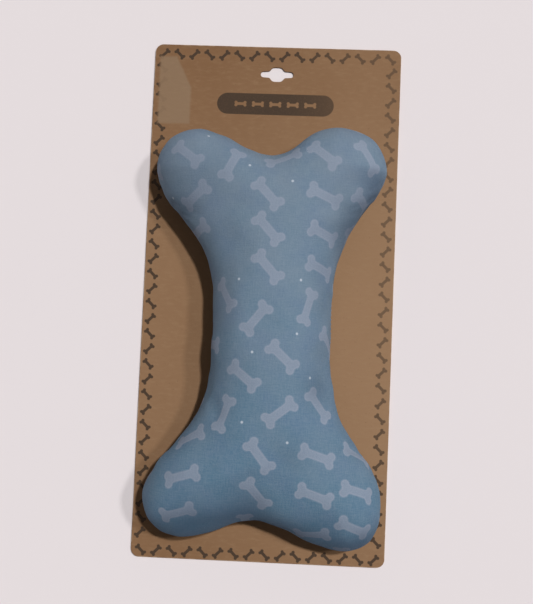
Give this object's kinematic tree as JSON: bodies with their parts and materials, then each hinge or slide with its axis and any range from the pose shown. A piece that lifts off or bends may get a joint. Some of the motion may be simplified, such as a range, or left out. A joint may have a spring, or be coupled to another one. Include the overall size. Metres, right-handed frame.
{
  "type": "squeaky plush bone dog toy on a hang card",
  "caption": "Stuffed plush bone for a dog with a squeaker bulb and reed whistle in its filling, stapled to a kraft hang card with a butterfly peg slot.",
  "frame": {"origin": "centre of the card's back face, which the part lies on", "axes": "+Y up the card towards its hang slot, +Z out of the card's front towards the bone, +X to the right of the front"},
  "size_m": [0.1836, 0.38, 0.0661],
  "materials": {
    "kraft_board": "matte",
    "blue_plush": "matte",
    "fibre_filling": "matte",
    "blue_thread": "matte",
    "squeaker_vinyl": "satin",
    "whistle_plastic": "satin",
    "reed_film": "gloss",
    "staple_nylon": "satin"
  },
  "bodies": {
    "card_and_back": {"backing_card": "kraft_board", "card_staple_upper_left": "staple_nylon", "card_staple_upper_right": "staple_nylon", "card_staple_lower_left": "staple_nylon", "card_staple_lower_right": "staple_nylon", "back_panel": "blue_plush", "back_filling_shaft": "fibre_filling", "back_filling_upper_left_lobe": "fibre_filling", "back_filling_upper_right_lobe": "fibre_filling", "back_filling_lower_left_lobe": "fibre_filling", "back_filling_lower_right_lobe": "fibre_filling", "squeaker_bulb": "squeaker_vinyl"},
    "squeezed_front": {"front_panel": "blue_plush", "front_filling_shaft": "fibre_filling", "front_filling_upper_left_lobe": "fibre_filling", "front_filling_upper_right_lobe": "fibre_filling", "front_filling_lower_left_lobe": "fibre_filling", "front_filling_lower_right_lobe": "fibre_filling", "seam_thread": "blue_thread", "closing_thread": "blue_thread", "whistle_body": "whistle_plastic", "reed_seat": "whistle_plastic", "reed_wedge": "whistle_plastic"},
    "whistle_reed": {"reed": "reed_film"}
  },
  "joints": [
    {"name": "squeeze", "type": "slide", "parent": "card_and_back", "child": "squeezed_front", "axis": [0, 0, 1], "range_m": [-0.012, 0], "stiffness_N_per_m": 800, "springref_m": 0.003, "deforming": ["back_panel", "back_filling_shaft", "back_filling_upper_left_lobe", "back_filling_upper_right_lobe", "back_filling_lower_left_lobe", "back_filling_lower_right_lobe", "squeaker_bulb"]},
    {"name": "reed_flutter", "type": "hinge", "parent": "squeezed_front", "child": "whistle_reed", "pos_m": [0, -0.0256, 0.043], "axis": [1, 0, 0], "range_deg": [0, 8], "stiffness_Nm_per_rad": 0.00002, "springref_deg": -2.86}
  ]
}
